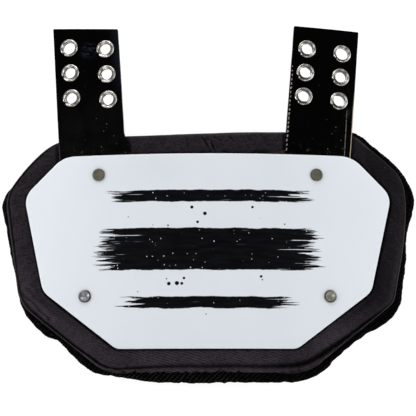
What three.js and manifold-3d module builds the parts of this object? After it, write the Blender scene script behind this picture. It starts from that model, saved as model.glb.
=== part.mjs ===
// Football back plate: a curved hard plate riveted over a two-layer foam pad, with two eyeleted straps.
// Millimetres. The part lies on its pad with the plate up: +X runs across the back, +Y towards the strap
// tips and +Z up. The origin is the bottom centre of the whole part.
//
// Every layer wraps about one axis along Y, so a place on the part is (x, y, lift): x and y seen from in
// front of the plate, and lift measured outwards from the plate's back face along the wrap's radius.

import * as THREE from "three";
import { mergeVertices } from "three/addons/utils/BufferGeometryUtils.js";
import Module from "manifold-3d";

const wasm = await Module();
wasm.setup();

// Driving dimensions
const WRAP_RADIUS = 600; // radius of the plate's back face
const CROWN_HEIGHT = 43.6; // height of the plate's back face at its crown, before the part is tilted
const REST_TILT = THREE.MathUtils.degToRad(2.4); // the waist side sinks until all four side bulges rest
const FIT_GAP = 0.3; // between pieces that touch on the real part
const LAYER_GAP = 0.6; // between the two pad layers

const PLATE_THICKNESS = 3;
const FRONT_PAD_BASE = -8.3; // lift of the front pad's underside
const BACK_PAD_TOP = FRONT_PAD_BASE - LAYER_GAP;
const BACK_PAD_BASE = -18.9;

const STRAP_WIDTH = 58;
const STRAP_THICKNESS = 2.6;
const STRAP_TUCK = 42; // length hidden under the plate
const STRAP_REACH = 114.6; // length shown past the plate's top edge
const STRAP_ROOT_Y = 47.5; // where the straps leave the plate's top edge
const STRAP_LIFT = -FIT_GAP; // lift of a strap's outer face where it is clamped

const EYELET_BORE = 4.7; // radii of an eyelet
const EYELET_BARREL = 5.3;
const EYELET_FLANGE = 7.9;
const EYELET_CROWN = 1.7; // height of the rolled flange above the strap
const EYELET_ROLL = 0.4; // how far the flange rounds over at its rim and its bore
const EYELET_WASHER = 0.7; // thickness of the washer set behind the strap
const EYELET_ROWS = 3;
const EYELET_FIRST = 49.7; // from the plate's top edge to the nearest row of eyelets

const RIVET_HEAD = 5.5; // radii of a rivet
const RIVET_SHANK = 2.2;
const RIVET_FOOT = 6;
const RIVET_HEAD_HEIGHT = 1.7;
const RIVET_RIM = 0.8; // bevel round the head
const RIVET_FOOT_HEIGHT = 1.2;
const RIVET_GRIP = FRONT_PAD_BASE - PLATE_THICKNESS + RIVET_FOOT_HEIGHT; // from the plate's face to the foot

const ROUND_SIDES = 16; // sides of eyelets and rivets
const HOLE_SIDES = 18; // sides of the holes that they pass through
const CORNER_STEPS = 4; // segments of an outline's rounded corner
const EDGE_STEP = 15; // longest segment of an outline's straight run
const WRAP_STEPS = 48; // facets across the plate
const SLIVER = 0.02; // a cut leaves no edge shorter than this
const CUT_PAST = 6; // how far a cutter runs past what it cuts

// Outlines run anticlockwise, seen from in front. Each row is a corner, and ease is how far from that
// corner, along both sides, its rounding starts.
const PLATE_OUTLINE = [
  { x: 125.7, y: 45.5, ease: 11 },
  { x: 4, y: 46.5, ease: 60 },
  { x: -125.4, y: 45.2, ease: 10 },
  { x: -160.1, y: 11.4, ease: 10 },
  { x: -142.4, y: -72.1, ease: 6.5 },
  { x: -78.1, y: -122, ease: 4 },
  { x: 76.5, y: -121.9, ease: 4.4 },
  { x: 141.5, y: -72.4, ease: 6.4 },
  { x: 160.3, y: 11.6, ease: 9.7 },
];

// The fabric-faced front pad shows as a border round the plate.
const FRONT_PAD_OUTLINE = [
  { x: 127, y: 67, ease: 10 },
  { x: 50, y: 66.8, ease: 30 },
  { x: -40, y: 63.8, ease: 40 },
  { x: -133.5, y: 61.5, ease: 20 },
  { x: -162, y: 34.5, ease: 15 },
  { x: -178.5, y: 13, ease: 12 },
  { x: -164, y: -82, ease: 13 },
  { x: -87.5, y: -142.3, ease: 14 },
  { x: 86.5, y: -142.3, ease: 10 },
  { x: 162.6, y: -80.5, ease: 6 },
  { x: 172.2, y: -29, ease: 16 },
  { x: 175.2, y: 5, ease: 13 },
  { x: 171.5, y: 30.6, ease: 12 },
];

// The mesh-faced back pad is a little larger, with a dent in each lower corner and a waist in each side.
const BACK_PAD_OUTLINE = [
  { x: 131, y: 70.5, ease: 10 },
  { x: -131, y: 60, ease: 18 },
  { x: -158, y: 36, ease: 8 },
  { x: -174, y: 23, ease: 7.7 },
  { x: -183.5, y: 9, ease: 9 },
  { x: -167, y: -62, ease: 8 },
  { x: -162.5, y: -89, ease: 18 },
  { x: -140, y: -110.5, ease: 6 },
  { x: -129.5, y: -113, ease: 4.5 },
  { x: -98.5, y: -142.5, ease: 12 },
  { x: -46, y: -150.5, ease: 30 },
  { x: 40, y: -150.5, ease: 30 },
  { x: 91, y: -149.5, ease: 16 },
  { x: 127, y: -114.5, ease: 13 },
  { x: 167, y: -91.5, ease: 18 },
  { x: 173, y: -55, ease: 12 },
  { x: 175.5, y: -17, ease: 14 },
  { x: 185.5, y: 12, ease: 12 },
  { x: 172, y: 38.5, ease: 17 },
];

// A pad's skin, from the middle of its outer face round the edge to the middle of its underside. A ring
// is the outline drawn in to share of its size and then by inset towards the centre.
const FRONT_PAD_SKIN = [
  { share: 0.2, inset: 0, lift: -FIT_GAP },
  { share: 0.4, inset: 0, lift: -FIT_GAP },
  { share: 0.6, inset: 0, lift: -FIT_GAP },
  { share: 0.78, inset: 0, lift: -FIT_GAP },
  { share: 1, inset: 24, lift: -FIT_GAP },
  { share: 1, inset: 13, lift: -0.5 },
  { share: 1, inset: 8.5, lift: -1.4 },
  { share: 1, inset: 6.2, lift: -2.7 },
  { share: 1, inset: 4, lift: -2.5 },
  { share: 1, inset: 1.4, lift: -3.6 },
  { share: 1, inset: 0, lift: -5.8 },
  { share: 1, inset: 0.9, lift: -7.6 },
  { share: 1, inset: 3.5, lift: FRONT_PAD_BASE },
  { share: 0.78, inset: 0, lift: FRONT_PAD_BASE },
  { share: 0.6, inset: 0, lift: FRONT_PAD_BASE },
  { share: 0.4, inset: 0, lift: FRONT_PAD_BASE },
  { share: 0.2, inset: 0, lift: FRONT_PAD_BASE },
];
const BACK_PAD_SKIN = [
  { share: 0.2, inset: 0, lift: BACK_PAD_TOP },
  { share: 0.4, inset: 0, lift: BACK_PAD_TOP },
  { share: 0.6, inset: 0, lift: BACK_PAD_TOP },
  { share: 0.78, inset: 0, lift: BACK_PAD_TOP },
  { share: 1, inset: 9, lift: BACK_PAD_TOP },
  { share: 1, inset: 4, lift: -9.6 },
  { share: 1, inset: 1, lift: -11.2 },
  { share: 1, inset: 0, lift: -13.4 },
  { share: 1, inset: 1.4, lift: -16 },
  { share: 1, inset: 5.5, lift: -18.1 },
  { share: 1, inset: 13, lift: BACK_PAD_BASE },
  { share: 0.75, inset: 0, lift: BACK_PAD_BASE },
  { share: 0.5, inset: 0, lift: BACK_PAD_BASE },
  { share: 0.25, inset: 0, lift: BACK_PAD_BASE },
];

// rootX is a strap's middle at the plate's edge and lean its angle from +Y. Its tip and its eyelet rows run
// out of square by a slope each. pitch and span are the eyelets' spacing along and across the strap, and
// aside is how far off its middle line they sit.
const STRAPS = [
  {
    side: "left",
    rootX: -100.4,
    lean: 4,
    tipSlope: 0.12,
    rowSlope: 0.145,
    pitch: 23.2,
    span: 32.2,
    aside: 0.8,
  },
  {
    side: "right",
    rootX: 95.7,
    lean: -4.8,
    tipSlope: -0.03,
    rowSlope: 0.015,
    pitch: 21.8,
    span: 31.4,
    aside: -0.4,
  },
];

// How far a strap has sunk at points along it, measured from the plate's top edge. It is straight where
// the eyelets are.
const STRAP_SAG = [
  { along: -STRAP_TUCK, drop: 0 },
  { along: -22, drop: 0 },
  { along: 2, drop: 0 },
  { along: 18, drop: 0.3 },
  { along: 30, drop: 1 },
  { along: 41, drop: 2 },
  { along: STRAP_REACH, drop: 9 },
];
const STRAP_FACETS = 5; // across a strap

const RIVETS = [
  { name: "upper_left", x: -94.2, y: 28.3 },
  { name: "upper_right", x: 94.2, y: 28.3 },
  { name: "lower_left", x: -105.3, y: -76.8 },
  { name: "lower_right", x: 105.3, y: -76.8 },
];

const MATERIALS = {
  plate: { color: 0xe0e4ea, roughness: 0.28, metalness: 0 },
  fabric: { color: 0x2b272b, roughness: 0.85, metalness: 0 },
  mesh: { color: 0x0c0b0c, roughness: 0.9, metalness: 0 },
  strap: { color: 0x060607, roughness: 0.12, metalness: 0 },
  nickel: { color: 0xb9b4a8, roughness: 0.25, metalness: 1 },
  eyelet: { color: 0xc8c6c0, roughness: 0.15, metalness: 1 },
};
for (const [key, look] of Object.entries(MATERIALS)) {
  MATERIALS[key] = new THREE.MeshStandardMaterial(look);
}

// The wrap
const wrapHeight = (x, lift) => CROWN_HEIGHT - WRAP_RADIUS + Math.sqrt((WRAP_RADIUS + lift) ** 2 - x * x);
const wrapped = (x, y, lift) => new THREE.Vector3(x, y, wrapHeight(x, lift));
const wrapAxis = (y) => new THREE.Vector3(0, y, CROWN_HEIGHT - WRAP_RADIUS);

// Solids: closed three.js geometry to and from manifold-3d
function toSolid(geometry) {
  const bare = new THREE.BufferGeometry().setAttribute("position", geometry.getAttribute("position"));
  if (geometry.index) bare.setIndex(geometry.index);
  const merged = mergeVertices(bare, 1e-4);
  return new wasm.Manifold(
    new wasm.Mesh({
      numProp: 3,
      vertProperties: new Float32Array(merged.getAttribute("position").array),
      triVerts: new Uint32Array(merged.index.array),
      tolerance: SLIVER,
    }),
  );
}

function toGeometry(solid) {
  const mesh = solid.getMesh();
  const geometry = new THREE.BufferGeometry();
  geometry.setAttribute("position", new THREE.BufferAttribute(new Float32Array(mesh.vertProperties), 3));
  geometry.setIndex(new THREE.BufferAttribute(new Uint32Array(mesh.triVerts), 1));
  geometry.computeVertexNormals();
  return geometry;
}

// A skin through rings of equal count, closed at both ends by a fan to the middle of the end ring.
function loft(rings) {
  const count = rings[0].length;
  const middle = (ring) => ring.reduce((sum, p) => sum.add(p), new THREE.Vector3()).divideScalar(count);
  const points = [...rings.flat(), middle(rings[0]), middle(rings.at(-1))];
  const firstPole = rings.length * count;
  const lastPole = firstPole + 1;
  const lastRing = (rings.length - 1) * count;
  const index = [];
  for (let k = 0; k < count; k++) {
    const next = (k + 1) % count;
    for (let r = 0; r < rings.length - 1; r++) {
      const [a, b] = [r * count + k, r * count + next];
      const [c, d] = [a + count, b + count];
      index.push(a, c, b, b, c, d);
    }
    index.push(firstPole, k, next, lastPole, lastRing + next, lastRing + k);
  }
  return new THREE.BufferGeometry().setFromPoints(points).setIndex(index);
}

// The points of a rounded outline, with straight runs split so that they can follow the wrap.
function outlinePoints(rows) {
  const corner = (i) => {
    const row = rows[(i + rows.length) % rows.length];
    return new THREE.Vector2(row.x, row.y);
  };
  const towards = (i, j) => {
    const start = corner(i);
    const along = corner(j).sub(start).normalize();
    return start.addScaledVector(along, rows[(i + rows.length) % rows.length].ease);
  };
  return rows.flatMap((_, i) => {
    const leave = towards(i, i + 1);
    const arrive = towards(i + 1, i);
    const bend = new THREE.QuadraticBezierCurve(towards(i, i - 1), corner(i), leave);
    const runs = Math.max(1, Math.ceil(leave.distanceTo(arrive) / EDGE_STEP));
    const run = Array.from({ length: runs - 1 }, (_, k) => leave.clone().lerp(arrive, (k + 1) / runs));
    return [...bend.getPoints(CORNER_STEPS), ...run];
  });
}

// The plate: its outline cut from a curved sheet
function curvedSheet(halfWidth, low, high, length) {
  const across = Array.from({ length: WRAP_STEPS + 1 }, (_, k) => halfWidth * ((2 * k) / WRAP_STEPS - 1));
  const under = across.map((x) => new THREE.Vector2(x, wrapHeight(x, low)));
  const over = across.map((x) => new THREE.Vector2(x, wrapHeight(x, high))).reverse();
  const section = new THREE.Shape([...under, ...over]);
  const sheet = new THREE.ExtrudeGeometry(section, { depth: 2 * length, bevelEnabled: false });
  return toSolid(sheet.translate(0, 0, -length).rotateX(Math.PI / 2));
}

function plateSolid() {
  const room = 30; // past the outline on every side
  const width = Math.max(...PLATE_OUTLINE.map((row) => row.x)) + room;
  const outline = new THREE.Shape(outlinePoints(PLATE_OUTLINE));
  const prism = new THREE.ExtrudeGeometry(outline, { depth: 2 * CROWN_HEIGHT, bevelEnabled: false });
  return toSolid(prism).intersect(curvedSheet(width, 0, PLATE_THICKNESS, width));
}

// Pads
function padSolid(outlineRows, skinRows) {
  const outline = outlinePoints(outlineRows);
  const rings = skinRows.map(({ share, inset, lift }) =>
    outline.map((p) => {
      const q = p.clone().setLength(p.length() * share - inset);
      return wrapped(q.x, q.y, lift);
    }),
  );
  return toSolid(loft(rings));
}

// Straps
function sagAt(along) {
  const past = STRAP_SAG.findIndex((row) => row.along >= along);
  const i = past < 0 ? STRAP_SAG.length - 1 : Math.max(1, past);
  const [a, b] = [STRAP_SAG[i - 1], STRAP_SAG[i]];
  return THREE.MathUtils.mapLinear(along, a.along, b.along, a.drop, b.drop);
}

// A place on a strap: along from the plate's edge, across from its middle line, rise from its outer face.
function onStrap(strap, along, across, rise) {
  const lean = THREE.MathUtils.degToRad(strap.lean);
  const plan = new THREE.Vector2(across, along).rotateAround(new THREE.Vector2(), lean);
  return wrapped(strap.rootX + plan.x, STRAP_ROOT_Y + plan.y, STRAP_LIFT - sagAt(along) + rise);
}

// A strap's slab, grown by margin on every face.
function strapSlab(strap, margin) {
  const half = STRAP_WIDTH / 2 + margin;
  const across = Array.from({ length: STRAP_FACETS + 1 }, (_, k) => half * (1 - (2 * k) / STRAP_FACETS));
  const rings = STRAP_SAG.map(({ along }) => {
    const grow = along === -STRAP_TUCK ? -margin : along === STRAP_REACH ? margin : 0;
    const slope = along === STRAP_REACH ? strap.tipSlope : 0;
    const edge = (rise) => across.map((t) => onStrap(strap, along + grow - slope * t, t, rise));
    return [...edge(margin), ...edge(-STRAP_THICKNESS - margin).reverse()];
  });
  return toSolid(loft(rings));
}

// A place on a strap's outer face with the face's outward direction there.
function strapSeat(strap, along, across) {
  const step = 3;
  const at = (da, dc) => onStrap(strap, along + da, across + dc, 0);
  const ahead = at(step, 0).sub(at(-step, 0));
  const aside = at(0, step).sub(at(0, -step));
  return { point: at(0, 0), out: aside.cross(ahead).normalize() };
}

const eyeletSeats = (strap) =>
  [strap.aside - strap.span / 2, strap.aside + strap.span / 2].flatMap((across) =>
    Array.from({ length: EYELET_ROWS }, (_, row) =>
      strapSeat(strap, EYELET_FIRST + row * strap.pitch - strap.rowSlope * across, across),
    ),
  );

function rivetSeat({ x, y }) {
  const point = wrapped(x, y, PLATE_THICKNESS);
  return { point, out: point.clone().sub(wrapAxis(y)).normalize() };
}

// Round pieces stand on a seat, with the seat's outward direction as their axis.
const seatTurn = (seat) => new THREE.Quaternion().setFromUnitVectors(new THREE.Vector3(0, 0, 1), seat.out);
const seatMatrix = (seat) =>
  new THREE.Matrix4().compose(seat.point, seatTurn(seat), new THREE.Vector3(1, 1, 1));
const turned = (profile) => {
  const points = profile.map(([r, h]) => new THREE.Vector2(r, h));
  return new THREE.LatheGeometry(points, ROUND_SIDES).rotateX(Math.PI / 2);
};

// A round cutter on a seat, from low to high along its axis.
function drill(seat, radius, low, high) {
  const bit = new THREE.CylinderGeometry(radius, radius, high - low, HOLE_SIDES).rotateX(Math.PI / 2);
  return toSolid(bit.translate(0, 0, (low + high) / 2).applyMatrix4(seatMatrix(seat)));
}

function eyeletGeometry() {
  const back = -STRAP_THICKNESS - FIT_GAP;
  const washer = back - EYELET_WASHER;
  return turned([
    [EYELET_BORE, washer],
    [EYELET_FLANGE, washer],
    [EYELET_FLANGE, back],
    [EYELET_BARREL, back],
    [EYELET_BARREL, FIT_GAP],
    [EYELET_FLANGE, FIT_GAP],
    [EYELET_FLANGE - EYELET_ROLL, EYELET_CROWN - EYELET_ROLL],
    [(EYELET_FLANGE + EYELET_BORE) / 2, EYELET_CROWN],
    [EYELET_BORE + EYELET_ROLL, EYELET_CROWN - EYELET_ROLL],
    [EYELET_BORE, FIT_GAP],
    [EYELET_BORE, washer],
  ]);
}

// A rivet's foot lies in a pocket in the front pad's underside.
function rivetGeometry() {
  return turned([
    [0, RIVET_GRIP - RIVET_FOOT_HEIGHT],
    [RIVET_FOOT, RIVET_GRIP - RIVET_FOOT_HEIGHT],
    [RIVET_FOOT, RIVET_GRIP],
    [RIVET_SHANK, RIVET_GRIP],
    [RIVET_SHANK, FIT_GAP],
    [RIVET_HEAD, FIT_GAP],
    [RIVET_HEAD, RIVET_HEAD_HEIGHT - RIVET_RIM],
    [RIVET_HEAD - RIVET_RIM, RIVET_HEAD_HEIGHT],
    [0, RIVET_HEAD_HEIGHT],
  ]);
}

// Assembly
const model = new THREE.Group();
model.rotation.x = REST_TILT;
model.updateMatrix();

function add(name, geometry, material, seat) {
  const mesh = new THREE.Mesh(geometry, material);
  mesh.name = name;
  if (seat) {
    mesh.position.copy(seat.point);
    mesh.quaternion.copy(seatTurn(seat));
  }
  model.add(mesh);
}

const minus = (solid, cutters) => cutters.reduce((left, cutter) => left.subtract(cutter), solid);

const rivetSeats = RIVETS.map(rivetSeat);
const shankHoles = rivetSeats.map((seat) =>
  drill(seat, RIVET_SHANK + FIT_GAP, RIVET_GRIP - CUT_PAST, CUT_PAST),
);
const footPockets = rivetSeats.map((seat) =>
  drill(seat, RIVET_FOOT + FIT_GAP, RIVET_GRIP - CUT_PAST, RIVET_GRIP + FIT_GAP),
);
const strapBeds = STRAPS.map((strap) => strapSlab(strap, FIT_GAP));

// The back pad's lowest bulges are pressed flat on what the part lies on.
const floorSize = 500;
const floorBlock = new THREE.BoxGeometry(floorSize, floorSize, floorSize)
  .translate(0, 0, -floorSize / 2)
  .applyMatrix4(model.matrix.clone().invert());

const plate = minus(plateSolid(), shankHoles);
const wholeFrontPad = padSolid(FRONT_PAD_OUTLINE, FRONT_PAD_SKIN);
const frontPad = minus(wholeFrontPad, [...strapBeds, ...shankHoles, ...footPockets]);
const backPad = minus(padSolid(BACK_PAD_OUTLINE, BACK_PAD_SKIN), [toSolid(floorBlock)]);
add("plate", toGeometry(plate), MATERIALS.plate);
add("front_pad", toGeometry(frontPad), MATERIALS.fabric);
add("back_pad", toGeometry(backPad), MATERIALS.mesh);

for (const strap of STRAPS) {
  const seats = eyeletSeats(strap);
  const eyeletHoles = seats.map((seat) => drill(seat, EYELET_BARREL + FIT_GAP, -CUT_PAST, CUT_PAST));
  const slab = minus(strapSlab(strap, 0), [...eyeletHoles, ...shankHoles]);
  add(`strap_${strap.side}`, toGeometry(slab), MATERIALS.strap);
  seats.forEach((seat, i) => add(`eyelet_${strap.side}_${i + 1}`, eyeletGeometry(), MATERIALS.eyelet, seat));
}
RIVETS.forEach(({ name }, i) => add(`rivet_${name}`, rivetGeometry(), MATERIALS.nickel, rivetSeats[i]));

// The origin is the bottom centre of the part as it lies.
const part = new THREE.Group();
part.add(model);
part.updateMatrixWorld(true);
const box = new THREE.Box3().setFromObject(part, true);
const centre = box.getCenter(new THREE.Vector3());
model.position.set(-centre.x, -centre.y, -box.min.z);

export default part;
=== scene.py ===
"""A football back plate lying on its pad: a curved white plate riveted over a fabric-faced pad, a mesh-faced
pad behind it, and two patent straps with eyelets. Shapes are worked out in millimetres in the plate's own
frame, where every layer wraps about one axis along Y, and lay() then puts them where the part lies."""

import math

import bpy
import numpy as np
from mathutils import Matrix, Vector


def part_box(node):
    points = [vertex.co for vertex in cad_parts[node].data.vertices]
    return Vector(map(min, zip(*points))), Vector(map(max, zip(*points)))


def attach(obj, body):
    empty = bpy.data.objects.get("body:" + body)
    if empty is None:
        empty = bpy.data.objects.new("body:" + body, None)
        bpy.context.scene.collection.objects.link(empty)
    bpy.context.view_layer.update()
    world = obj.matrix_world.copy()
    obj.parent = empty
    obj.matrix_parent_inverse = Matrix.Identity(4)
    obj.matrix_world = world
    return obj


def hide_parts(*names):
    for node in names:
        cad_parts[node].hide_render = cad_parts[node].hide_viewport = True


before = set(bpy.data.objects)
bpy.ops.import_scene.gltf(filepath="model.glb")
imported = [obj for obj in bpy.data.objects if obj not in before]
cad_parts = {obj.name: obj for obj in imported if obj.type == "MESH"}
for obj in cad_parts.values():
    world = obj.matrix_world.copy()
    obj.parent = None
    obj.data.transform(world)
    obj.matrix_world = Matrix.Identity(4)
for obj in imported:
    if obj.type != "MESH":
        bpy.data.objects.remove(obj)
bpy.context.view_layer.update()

scene = bpy.context.scene

# Sizes in millimetres, the part's own except where its look asks for a little more or less

MM = 0.001
CHART = 0.01             # a piece's own map holds millimetres times this
WRAP_RADIUS = 600.0      # of the plate's back face
CROWN_HEIGHT = 43.6      # of the plate's back face at its crown
REST_TILT = math.radians(2.4)
FIT_GAP = 0.3

PLATE_THICKNESS = 3.0
PLATE_FOOT = -121.95     # y of the plate's lower edge at its crown
FRONT_PAD_BASE = -8.3    # lifts of the pads' faces over the wrap
BACK_PAD_FACE = -8.95
BACK_PAD_BASE = -18.4

STRAP_WIDTH = 58.0
STRAP_THICKNESS = 2.6
STRAP_TUCK = 42.0        # hidden under the plate
STRAP_REACH = 114.6      # shown past the plate's top edge
STRAP_ROOT_Y = 47.5      # where the straps leave that edge
STRAP_CORNER = 1.0       # radius at the tip

EYELET_LIP = 4.45        # radii
EYELET_BARREL = 5.3
EYELET_HOLE = EYELET_BARREL + FIT_GAP
EYELET_FLANGE = 7.9
EYELET_FIRST = 49.7      # from the plate's edge to the nearest row
EYELET_ROWS = 3

RIVET_HEAD = 5.5
RIVET_SHANK = 2.2
RIVET_FOOT = 6.0
RIVET_FOOT_HEIGHT = 1.2
RIVET_GRIP = FRONT_PAD_BASE - PLATE_THICKNESS + RIVET_FOOT_HEIGHT

# Corners of an outline: x, y, and how far from the corner its rounding starts.
PLATE_OUTLINE = (
    (125.7, 45.5, 11), (4, 46.5, 60), (-125.4, 45.2, 10), (-160.1, 11.4, 10), (-142.4, -72.1, 6.5),
    (-78.1, -122, 4), (76.5, -121.9, 4.4), (141.5, -72.4, 6.4), (160.3, 11.6, 9.7),
)
FRONT_PAD_OUTLINE = (
    (127, 67, 10), (50, 66.8, 30), (-40, 63.8, 40), (-134.1, 62.1, 20), (-162.6, 35.2, 15), (-178.5, 13, 12),
    (-164, -82, 13), (-87.5, -142.3, 14), (86.5, -142.3, 18), (162.6, -80.5, 6), (172.2, -29, 16),
    (175.2, 5, 13), (171.5, 30.6, 12),
)
BACK_PAD_OUTLINE = (
    (131, 70.5, 10), (-131, 60, 18), (-158, 36, 8), (-174, 23, 7.7), (-183.5, 9, 9), (-167, -62, 8),
    (-162.5, -89, 18), (-140, -110.5, 6), (-130, -113.5, 4.5), (-99.2, -143.1, 12), (-46, -150.5, 30),
    (40, -150.5, 30), (91.3, -149.2, 21), (126.7, -114.1, 13), (167, -91.5, 18), (173, -55, 12),
    (175.5, -17, 14), (185.5, 12, 12), (172, 38.5, 17),
)

# A strap's middle at the plate's edge, its angle from +Y, and its eyelets' spacing, set aside from its
# middle. Its tip and its eyelet rows run out of square by a slope each, and its edge splays by the plate.
STRAPS = {
    "left": dict(root=-100.4, lean=4.0, tip_slope=0.12, row_slope=0.145, pitch=23.2, span=32.2, aside=0.8,
                 splay=3.2),
    "right": dict(root=95.7, lean=-4.8, tip_slope=-0.03, row_slope=0.015, pitch=21.8, span=31.4, aside=-0.4,
                  splay=0.0),
}
STRAP_SAG = ((-42, 0), (2, 0), (18, 0.3), (30, 1), (41, 2), (114.6, 9))   # (along, drop)
RIVETS = {
    "upper_left": (-94.2, 28.3), "upper_right": (94.2, 28.3),
    "lower_left": (-105.3, -76.8), "lower_right": (105.3, -76.8),
}

# Where the part lies

TILT_COS, TILT_SIN = math.cos(REST_TILT), math.sin(REST_TILT)
TURN = np.array(((1, 0, 0), (0, TILT_COS, -TILT_SIN), (0, TILT_SIN, TILT_COS)))
rivet_boxes = np.array([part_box("rivet_upper_left"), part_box("rivet_upper_right")]) / MM
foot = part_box("plate")[0][1] / MM
SHIFT = np.array((
    rivet_boxes[..., 0].mean(),
    foot - PLATE_FOOT * TILT_COS + (CROWN_HEIGHT + PLATE_THICKNESS) * TILT_SIN,
    0,
))


def lay(points):
    """Millimetres in the plate's frame to metres as the part lies: a turn about X, then a shift."""
    return (np.asarray(points, float) @ TURN.T + SHIFT) * MM


def wrapped(x, y, lift):
    """A place on the part: z is the height of a circle about the wrap's axis, its radius the plate's back
    face's plus lift, at x."""
    x, y, lift = np.broadcast_arrays(x, y, lift)
    return np.stack((x, y, CROWN_HEIGHT - WRAP_RADIUS + np.sqrt((WRAP_RADIUS + lift) ** 2 - x ** 2)), -1)


def unwrapped(points):
    """x, y and lift of a place on the part: lift is its distance from the wrap's axis less the radius."""
    x, y, z = np.moveaxis(points, -1, 0)
    return x, y, np.hypot(x, z - CROWN_HEIGHT + WRAP_RADIUS) - WRAP_RADIUS


# Shapes as arrays

def ease(value, low, high):
    """0 below low, 1 above high, and 3t^2 - 2t^3 between."""
    t = np.clip((value - low) / (high - low), 0, 1)
    return t * t * (3 - 2 * t)


def hump(value, middle, width):
    """1 at middle, falling to each side as exp(-(d/width)^2) of the distance d."""
    return np.exp(-((value - middle) / width) ** 2)


def bearings(count):
    """Even angles once round."""
    return np.linspace(0, 2 * np.pi, count, endpoint=False)


def near_bearing(angle, bearing, spread):
    """A hump at a bearing, in degrees, over the angle to it the short way round."""
    away = np.degrees(np.angle(np.exp(1j * (angle - math.radians(bearing)))))
    return hump(away, 0, spread)


def drift(a, b, wave, seed, waves=18):
    """A smooth random relief over (a, b), mostly within -1 to 1: the sum of plane waves of about one length,
    with directions and phases drawn from a seed, over the root of half their number."""
    rng = np.random.default_rng(seed)
    angle, phase = rng.uniform(0, 2 * np.pi, (2, waves))
    number = 2 * np.pi / (wave * rng.uniform(0.7, 1.5, waves))
    a, b = np.broadcast_arrays(np.asarray(a, float), np.asarray(b, float))
    turns = np.multiply.outer(a, number * np.cos(angle)) + np.multiply.outer(b, number * np.sin(angle))
    return np.cos(turns + phase).sum(-1) / math.sqrt(waves / 2)


def spline(rows, steps):
    """A smooth curve through rows: a Catmull-Rom cubic between each two, its ends mirrored."""
    p = np.asarray(rows, float)
    p = np.vstack((2 * p[0] - p[1], p, 2 * p[-1] - p[-2]))
    t = np.linspace(0, 1, steps, endpoint=False)[None, :, None]
    a, b, c, d = (p[i:len(p) - 3 + i, None] for i in range(4))
    curve = b + 0.5 * ((c - a) * t + (2 * a - 5 * b + 4 * c - d) * t ** 2 + (3 * b - a - 3 * c + d) * t ** 3)
    return np.vstack((curve.reshape(-1, p.shape[1]), p[-2]))


def refined(rings, row_steps, column_steps):
    """A grid of points made finer: a Catmull-Rom curve along its rows and, closed, round its columns."""
    turn = np.swapaxes(rings, 0, 1)
    turn = np.concatenate((turn[-1:], turn, turn[:2]))
    curve = spline(turn.reshape(len(turn), -1), column_steps)
    curve = curve[column_steps:column_steps * (rings.shape[1] + 1)]
    rings = np.swapaxes(curve.reshape(len(curve), -1, 3), 0, 1)
    if row_steps > 1:
        rings = spline(rings.reshape(len(rings), -1), row_steps).reshape(-1, rings.shape[1], 3)
    return rings


def outline(rows, count):
    """Points at even arc lengths round a polygon with eased corners: each corner is the quadratic Bezier
    curve from the point before it to the point after it at its easing distance."""
    corner = np.array([row[:2] for row in rows], float)
    reach = np.array([row[2] for row in rows], float)[:, None]
    before, after = np.roll(corner, 1, 0) - corner, np.roll(corner, -1, 0) - corner
    start = corner + reach * before / np.linalg.norm(before, axis=1, keepdims=True)
    end = corner + reach * after / np.linalg.norm(after, axis=1, keepdims=True)
    t = np.linspace(0, 1, 17)[None, :, None]
    bends = (1 - t) ** 2 * start[:, None] + 2 * t * (1 - t) * corner[:, None] + t ** 2 * end[:, None]
    path = bends.reshape(-1, 2)
    path = np.vstack((path, path[:1]))
    length = np.concatenate(((0,), np.cumsum(np.linalg.norm(np.diff(path, axis=0), axis=1))))
    at = np.linspace(0, length[-1], count, endpoint=False)
    return np.stack((np.interp(at, length, path[:, 0]), np.interp(at, length, path[:, 1])), -1), length[-1]


def off_edge(x, y, edge):
    """Distance from each place to the nearest point of an outline."""
    flat = np.stack((np.ravel(x), np.ravel(y)), -1)
    nearest = np.full(len(flat), np.inf)
    for part in np.array_split(edge, max(1, len(edge) // 60)):
        gap = ((flat[:, None] - part[None]) ** 2).sum(-1).min(1)
        nearest = np.minimum(nearest, gap)
    return np.sqrt(nearest).reshape(np.shape(x))


def grid_faces(rows, columns, round_columns=True, round_rows=False):
    """The quads of a grid of points, closed round its columns or rows where asked."""
    r = np.arange(rows if round_rows else rows - 1)[:, None]
    c = np.arange(columns if round_columns else columns - 1)[None, :]
    low, high = r * columns, ((r + 1) % rows) * columns
    near, far = c + 0 * r, (c + 1) % columns + 0 * r
    return np.stack((low + near, high + near, high + far, low + far), -1).reshape(-1, 4)


def pole_faces(ring, columns, pole, flip):
    """The triangles from a ring, given by its first index, to a pole."""
    c = np.arange(columns)
    near, far = ring + c, ring + (c + 1) % columns
    tip = np.full(columns, pole)
    return np.stack((tip, far, near) if flip else (tip, near, far), -1)


def closed_skin(rings, flip=False, start=0):
    """Rings of equal count as one closed surface: the middle of each end ring is added as its pole. flip
    turns its faces over, and start is the number that its first point has in the mesh."""
    rows, columns = rings.shape[:2]
    points = np.vstack((rings.reshape(-1, 3), rings[:1].mean(1), rings[-1:].mean(1)))
    last = rows * columns
    way = -1 if flip else 1
    faces = []
    for part in (grid_faces(rows, columns), pole_faces(0, columns, last, False),
                 pole_faces(last - columns, columns, last + 1, True)):
        faces += (part[:, ::way] + start).tolist()
    return points, faces


def with_poles(values):
    """A number for each point of a closed skin: those of its rings, and 0 at its two poles."""
    return np.append(values, (0, 0))


def raised(rings, height):
    """A grid of rings moved out by height, square to the runs along its rows and round its columns."""
    down = np.gradient(rings, axis=0)
    around = np.roll(rings, -1, 1) - np.roll(rings, 1, 1)
    out = np.cross(down, around)
    return rings + out / np.linalg.norm(out, axis=-1, keepdims=True) * height[..., None]


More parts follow.
